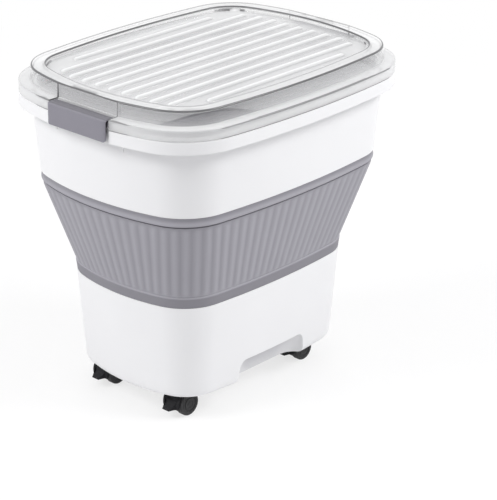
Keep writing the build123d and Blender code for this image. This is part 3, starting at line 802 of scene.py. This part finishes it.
# ribs near the long sides end sooner, as the panel's corners are round
away = abs((b.add("GeometryNodeInputIndex") - half) * wires["Pitch"] / wires["Panel Half"])
short = 1.0 - 2.0 * wires["Corner Gap"] * (away ** wires["Corner Power"]) / wires["Length"]
ribScale = b.add("ShaderNodeCombineXYZ", sockets={0: short, 1: 1.0, 2: 1.0})
spread = b.add("GeometryNodeInstanceOnPoints", sockets={"Points": row, "Instance": rib, "Scale": ribScale})
ribs = linked("ribs", bpy.data.meshes.new("ribs"))
grown(ribs, b, spread, clearPlastic, known, ribValues)
ribs.data.transform(Matrix.Translation((0, 0, (panelTop - t["ribSink"]) * mm)))
print("lid ribs:", len(ribs.data.polygons), "faces")
carved(lid, ribs, "UNION")
cleaned(lid, angle=30)

# rib crests look whiter than the panel with a painted highlight, and a grey painted refraction line runs along each
# foot
spots = np.zeros(len(lid.data.vertices) * 3)
lid.data.vertices.foreach_get("co", spots)
x, y, z = spots.reshape(-1, 3).T / mm
lastRib = (t["ribs"] - 1) // 2
nearest = np.clip(np.round(y / t["ribPitch"]), -lastRib, lastRib) * t["ribPitch"]
across = np.abs(y - nearest) / (t["ribWidth"] / 2)
onPanel = between(z, panelTop - 0.1, panelTop + t["ribHeight"] + 0.1)
onPanel &= (np.abs(x) < t["ribFieldX"]) & (np.abs(y) < t["ribFieldY"])
raised = onPanel & (z > panelTop + 0.1)
fresh = {"milk": (lidShade["panelMilk"], lidShade["ribMilk"] + lidShade["crestHighlight"] * (1.0 - across)),
         "edge": (0.0, fadeIn(across, *lidShade["ribFade"]) * lidShade["ribLine"])}
for key, (panelValue, ribValue) in fresh.items():
    data = lid.data.attributes[key].data
    kept = np.zeros(len(x), np.float32)
    data.foreach_get("value", kept)
    data.foreach_set("value", np.where(raised, ribValue, np.where(onPanel, panelValue, kept)).astype(np.float32))
dressed(lid, clearPlastic, "lid", "lid_cover")
print("lid:", len(lid.data.polygons), "faces")

# seal in the plug's groove
sealSize = {"inner": 0.85, "shoulder": -0.2, "outer": -1.1, "foot": 340.1, "middle": 341.5, "top": 342.9}
t = sealSize
seal = shell("lid_gasket_ring", [
    ("plug", t["inner"], t["foot"], 0.2), ("plug", t["shoulder"], t["foot"], 0.5),
    ("plug", t["outer"], t["middle"], 0.6), ("plug", t["shoulder"], t["top"], 0.5),
    ("plug", t["inner"], t["top"], 0.2)], roundColumns, closed=True)
dressed(seal, sealPale, "lid", "lid_gasket")

# end latches: angled plate with a step along its top, a barrel with pins and a catch
latchSize = {
    "face": 197.0, "plate": 3.0, "top": 357.0, "foot": 332.5, "topDeep": 12.6, "half": 42.5, "endRound": 4.5,
    "endBend": 0.42, "axisX": 188.5, "axisZ": 350.6, "barrel": 3.6, "barrelHalf": 41.5, "barrelRound": 0.4,
    "pin": 2.0, "pinHalf": 45.0, "hook": 3.1, "hookHalf": 30.0,
}
# painted shade makes the top darker than the face: where that starts, and its share on top and in front
latchShade = {"from": 1.5, "over": 0.7, "top": 0.75, "front": 0.2, "frontDeep": 1.4}
t, face, top, foot = latchSize, latchSize["face"], latchSize["top"], latchSize["foot"]
back, inner, underside = face - t["plate"], face - t["topDeep"], top - t["plate"]
plateRows = [
    (face, foot, 1.3), (face, top - 1.2, 1.2), (face - 2.0, top - 0.9, 0.5), (face - 3.4, top, 0.6),
    (inner + 3.4, top, 0.4), (inner + 2.7, top - 0.6, 0.3), (inner + 1.7, top - 0.6, 0.3),
    (inner + 1.1, top - 0.1, 0.4), (inner, top - 0.1, 0.9), (inner, underside, 0.7),
    (back, underside, 1.2), (back, foot, 1.2)]
hookRows = [(back + 0.6, foot + 0.2, 0), (back - t["hook"], foot + 0.2, 0.4),
            (back - t["hook"], foot + 1.3, 0.4), (back + 0.6, foot + 2.6, 0)]
barrelIn, barrelEnd = t["barrel"] - t["barrelRound"], t["barrelHalf"] - t["barrelRound"]
barrelHalf = [(t["barrel"], barrelEnd), (barrelIn, t["barrelHalf"]), (t["pin"], t["barrelHalf"]),
              (t["pin"], t["pinHalf"]), (0, t["pinHalf"])]
barrelRows = [(r, -d) for r, d in reversed(barrelHalf)] + barrelHalf
for side, hand in ((-1, "left"), (1, "right")):
    plate = rounded([(side * x, z, r) for x, z, r in plateRows], 6)
    body = slab("plate", plate, 0, t["half"], lip=1.2, lift=(t["endRound"], foot))
    for v in body.data.vertices:  # the ends of the face curve back
        short = max(t["endRound"] - (t["half"] - abs(v.co.y / mm)), 0.0)
        bend = t["endRound"] - math.sqrt(max(t["endRound"] ** 2 - short ** 2, 0.0))
        v.co.x = side * min(abs(v.co.x / mm), face - t["endBend"] * bend) * mm
    barrel = turned("barrel", barrelRows, (side * t["axisX"], 0, t["axisZ"]), "y", 40)
    hook = rounded([(side * x, z, r) for x, z, r in hookRows], 3)
    catch = slab("catch", hook, 0, t["hookHalf"], lip=0.3)
    latch = shaded(joined(f"latch_{hand}_clip", [body, barrel, catch]))
    # painted shade: strong on the latch's top, slight along the top of its face
    shades = []
    for v in latch.data.vertices:
        up = min(max((v.co.z / mm - top + latchShade["from"]) / latchShade["over"], 0.0), 1.0)
        isTop = abs(v.co.x / mm) < face - latchShade["frontDeep"]
        shades.append(up * latchShade["top" if isTop else "front"])
    latch.data.attributes.new("paintedShade", "FLOAT", "POINT").data.foreach_set("value", shades)
    dressed(latch, latchGrey, f"latch_{hand}", f"latch_{hand}")
print("latches done")

# casters: hood with lip, web and boss, and two turned wheels
casterSize = {
    "trail": 9.0, "axleZ": 13.5, "wheel": 13.5, "wheelWide": 8.6, "wheelSide": 5.2, "bore": 1.65, "boreDeep": 6.8,
    "hoodHalf": 14.5, "inner": 14.5, "outer": 16.2, "lead": 52.0, "back": 189.0, "lipReach": 24.4, "lipHalf": 5.4,
    "webHalf": 4.8, "webTop": 15.35, "webArc": (-6, 186), "hub": 12.4, "hubArc": (196, 344),
    "bossRadius": 4.8, "bossTop": 32.2, "bossFoot": 19.2, "bossChamfer": 0.5, "stem": 2.55,
}
hoodNarrow = ((52, 110, 160, 190), (0.72, 0.8, 0.84, 0.8))  # degrees round the axle, share of the width
lipSpread = ((15.0, 17.5, casterSize["lipReach"]), (1.5, 1.15, 0.92))  # reach, share of the width
lipRows = [  # reach ahead of the axle, height, radius
    (14.8, 20.5, 0), (15.8, 20.0, 3), (17.0, 15.6, 6), (casterSize["lipReach"], 11.4, 0.5),
    (casterSize["lipReach"] - 0.3, 10.0, 0.5), (17.5, 9.6, 5), (14.8, 9.6, 0.5)]
t = casterSize
tread, near, far = t["wheel"], t["wheelSide"], t["wheelSide"] + t["wheelWide"]
wheelRows = [  # radius and distance along the axle: tread with a groove, then the rings of the outer face
    (t["bore"], near), (tread - 1.6, near), (tread - 0.9, near + 0.2), (tread - 0.25, near + 0.7),
    (tread, near + 1.5), (tread, near + 3.4), (tread - 0.35, near + 3.7), (tread - 0.35, near + 4.5),
    (tread, near + 4.8), (tread, far - 1.7), (tread - 0.2, far - 0.9), (tread - 0.7, far - 0.3), (tread - 1.5, far),
    (11.0, far), (10.7, far - 0.35), (10.2, far - 0.35), (9.9, far), (9.0, far), (8.8, far - 0.75),
    (7.0, far - 0.75), (6.8, far), (4.6, far), (4.4, far - 0.4), (2.8, far - 0.4), (2.6, far), (0.0, far),
    (0.0, near + t["boreDeep"]), (t["bore"], near + t["boreDeep"]), (t["bore"], near)]
stem, bossOut, bossTop, bossFoot = t["stem"], t["bossRadius"], t["bossTop"], t["bossFoot"]
bossRows = [(stem, bossTop), (bossOut - t["bossChamfer"], bossTop), (bossOut, bossTop - t["bossChamfer"]),
            (bossOut, bossFoot), (stem, bossFoot), (stem, bossTop)]


def arcOf(centreX, radius, start, end, count):  # points round an axle, angles in degrees
    return [(centreX + radius * math.cos(a), casterSize["axleZ"] + radius * math.sin(a))
            for a in np.radians(np.linspace(start, end, count))]


for place, (x, y) in casterSpot.items():
    ax = x - t["trail"]
    band = arcOf(ax, t["outer"], t["lead"], t["back"], 34) + arcOf(ax, t["inner"], t["back"] + 1.5, t["lead"], 34)
    fender = slab("fender", band, y, t["hoodHalf"], lip=0.7)
    for v in fender.data.vertices:  # the hood narrows towards its crown
        turn = math.degrees(math.atan2(v.co.z / mm - t["axleZ"], v.co.x / mm - ax)) % 360
        v.co.y = (y + (v.co.y / mm - y) * np.interp(turn, *hoodNarrow)) * mm
    lip = slab("lip", rounded([(ax - reach, z, r) for reach, z, r in lipRows], 5), y, t["lipHalf"], lip=0.6)
    for v in lip.data.vertices:  # the lip spreads into the hood
        v.co.y = (y + (v.co.y / mm - y) * np.interp(ax - v.co.x / mm, *lipSpread)) * mm
    web = arcOf(ax, t["webTop"], *t["webArc"], 40) + arcOf(ax, t["hub"], *t["hubArc"], 26)
    middle = slab("web", web, y, t["webHalf"], lip=0.5)
    boss = turned("boss", bossRows, (x, y, 0), "z", 48)
    hood = shaded(joined(f"{place}_hood_shell", [fender, lip, middle, boss]))
    dressed(hood, casterBlack, f"{place}_caster", f"{place}_hood")
    for hand, way in (("near", -1), ("far", 1)):
        wheel = turned(f"{place}_wheel_{hand}_disc", [(r, way * d) for r, d in wheelRows], (ax, y, t["axleZ"]))
        dressed(wheel, tyreDark, f"{place}_wheel_{hand}", f"{place}_wheel_{hand}")
    for part in ("stem", "axle"):
        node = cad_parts[f"{place}_{part}"]
        node.data.materials.clear()
        node.data.materials.append(pinSteel)
print("casters done")

# stage: white floor that keeps a soft shadow, white surroundings and four softboxes
stageLook = {
    "floorSize": 40.0, "glow": 0.72, "glowFrom": 0.45, "glowTo": 1.35, "floor": (0.95, 0.95, 0.953, 1),
    "bounce": (0.86, 0.86, 0.866, 1), "roughness": 0.9, "sky": 0.44, "skyTint": (0.985, 0.983, 1.0, 1),
}
white = (1, 1, 1, 1)


def seenIn(bench):  # 1 where the stage is looked at, 0 where it only lights the bin
    node = bench.tree.nodes.new("ShaderNodeLightPath")
    kinds = ("Camera", "Glossy", "Transmission")
    eye, glossy, through = (Wire(bench.tree, node.outputs[f"Is {kind} Ray"]) for kind in kinds)
    return eye.most(glossy).most(through)


s = stageLook["floorSize"] / 2
mesh = bpy.data.meshes.new("floor")
mesh.from_pydata([(-s, -s, 0), (s, -s, 0), (s, s, 0), (-s, s, 0)], [], [(0, 1, 2, 3)])
floor = linked("studio_floor", mesh)
f = Finish("studioPaper", {"Roughness": stageLook["roughness"], "Specular IOR Level": 0.0})
seen = seenIn(f)
f.feed(Base_Color=f.mix(seen, stageLook["bounce"], stageLook["floor"]))
glow = f.add("ShaderNodeEmission", sockets={"Color": white, "Strength": 1.0})
away = f.add("ShaderNodeVectorMath", {"operation": "LENGTH"}, {0: f.place}, out=1)
fade = away.ramp(stageLook["glowFrom"], stageLook["glowTo"])
share = seen * (stageLook["glow"] + (1.0 - stageLook["glow"]) * fade)
surface = f.add("ShaderNodeMixShader", sockets={0: share, 1: f.shader.outputs[0], 2: glow})
plug(f.tree, f.tree.nodes["Material Output"].inputs["Surface"], surface)
mesh.materials.append(f.material)

world = bpy.data.worlds.new("studioWorld")
bpy.context.scene.world = world
world.use_nodes = True
b = Bench(world.node_tree)
seen = seenIn(b)
sky = b.tree.nodes["Background"]
plug(b.tree, sky.inputs["Color"], b.mix(seen, stageLook["skyTint"], white))
plug(b.tree, sky.inputs["Strength"], stageLook["sky"] + seen * (1.0 - stageLook["sky"]))

lampRows = [  # name, place, aim, width, height, watts
    ("leftBox", (-1.65, 0.75, 1.75), (0, 0, 0.2), 1.2, 0.8, 29.6),
    ("rightBox", (1.0, -1.55, 1.75), (0, 0, 0.2), 1.2, 0.8, 33.0),
    ("topBox", (-0.28, -0.28, 1.9), (0, 0, 0.3), 1.1, 1.1, 3.0),
    ("backBox", (1.35, 1.45, 1.1), (0, 0, 0.2), 1.2, 1.1, 9.0),
]
for name, spot, aim, wide, tall, watts in lampRows:
    data = bpy.data.lights.new(name, "AREA")
    data.shape, data.size, data.size_y, data.energy = "RECTANGLE", wide, tall, watts
    lamp = linked(name, data)
    lamp.location = spot
    lamp.rotation_euler = (Vector(aim) - Vector(spot)).to_track_quat("-Z", "Y").to_euler()
    lamp.visible_camera = False
    lamp.visible_glossy = name != "backBox"  # it would mirror in the lid

# camera as fitted to the photograph
view = {"azimuth": -46.51, "elevation": 23.27, "distance": 2.26282, "target": (0, 0, 0.14283),
        "focalPixels": 2031.32, "centreX": 209.47, "frameWidth": 497.0, "sensor": 36.0}
cameraData = bpy.data.cameras.new("camera")
camera = linked("camera", cameraData)
turn, rise = math.radians(view["azimuth"]), math.radians(view["elevation"])
outward = Vector((math.sin(turn) * math.cos(rise), -math.cos(turn) * math.cos(rise), math.sin(rise)))
camera.location = Vector(view["target"]) + outward * view["distance"]
camera.rotation_mode = "QUATERNION"
camera.rotation_quaternion = (-outward).to_track_quat("-Z", "Y")
cameraData.sensor_fit = "HORIZONTAL"
cameraData.sensor_width = view["sensor"]
cameraData.lens = view["focalPixels"] / view["frameWidth"] * view["sensor"]
cameraData.shift_x = (view["frameWidth"] / 2 - view["centreX"]) / view["frameWidth"]
cameraData.clip_start, cameraData.clip_end = 0.05, 100.0
bpy.context.scene.camera = camera
bpy.context.scene.view_settings.view_transform = "Standard"
